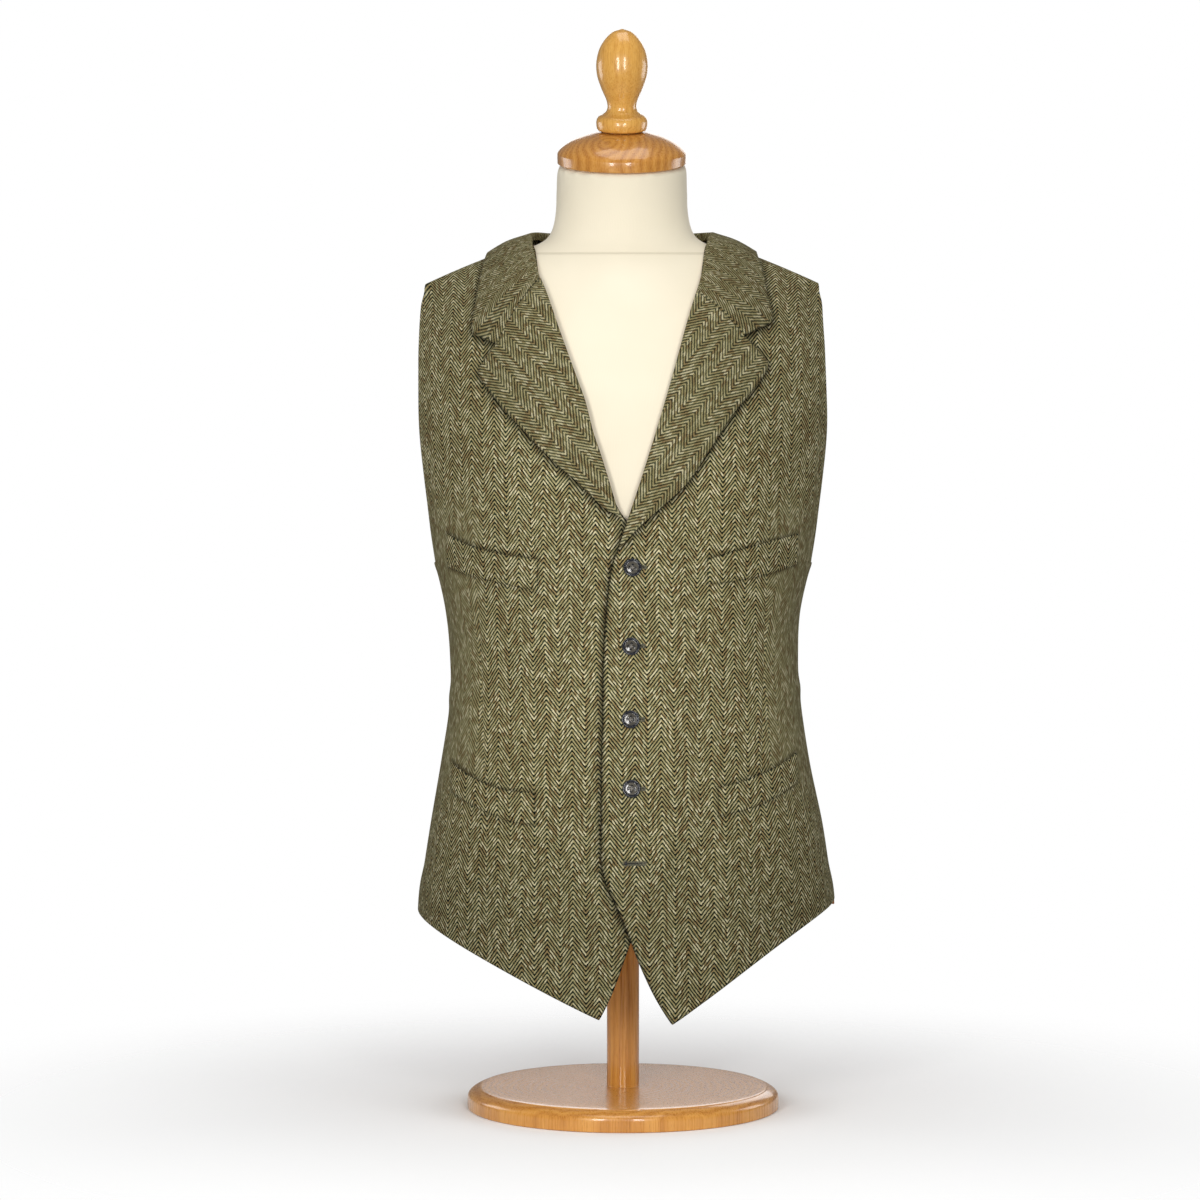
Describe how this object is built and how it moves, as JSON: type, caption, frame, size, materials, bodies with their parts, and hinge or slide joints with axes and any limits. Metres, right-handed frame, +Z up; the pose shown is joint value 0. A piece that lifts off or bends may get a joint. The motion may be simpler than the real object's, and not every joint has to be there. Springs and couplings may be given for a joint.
{
  "type": "suit waistcoat on a limbless dress form",
  "caption": "Fitted tweed waistcoat with notched lapels and welt pockets, buttoned on a limbless dress form with a turned wooden cap, on a short round stand.",
  "frame": {"origin": "middle of the stand base's underside, on the surface that the part stands on", "axes": "+Z up, the front of the waistcoat faces -Y, +X is the wearer's left"},
  "size_m": [0.362, 0.27, 0.9291],
  "materials": {
    "tweed": "olive green and cream herringbone wool, soft and matt",
    "satin": "copper brown satin, soft sheen",
    "horn": "dark grey horn, polished",
    "jersey": "cream jersey stretched smooth over the form",
    "polished_wood": "honey coloured wood, varnished"
  },
  "bodies": {
    "root": {"front_left": "tweed", "front_right": "tweed", "back_left": "satin", "back_right": "satin", "lapel_left": "tweed", "lapel_right": "tweed", "collar": "tweed", "collar_stand": "tweed", "chest_welt_left": "tweed", "chest_welt_right": "tweed", "lower_welt_left": "tweed", "lower_welt_right": "tweed", "button_1": "horn", "button_2": "horn", "button_3": "horn", "button_4": "horn", "button_5": "horn", "form_torso": "jersey", "neck_cap": "polished_wood", "cap_knob": "polished_wood", "stand_pole": "polished_wood", "stand_base": "polished_wood"}
  },
  "joints": []
}
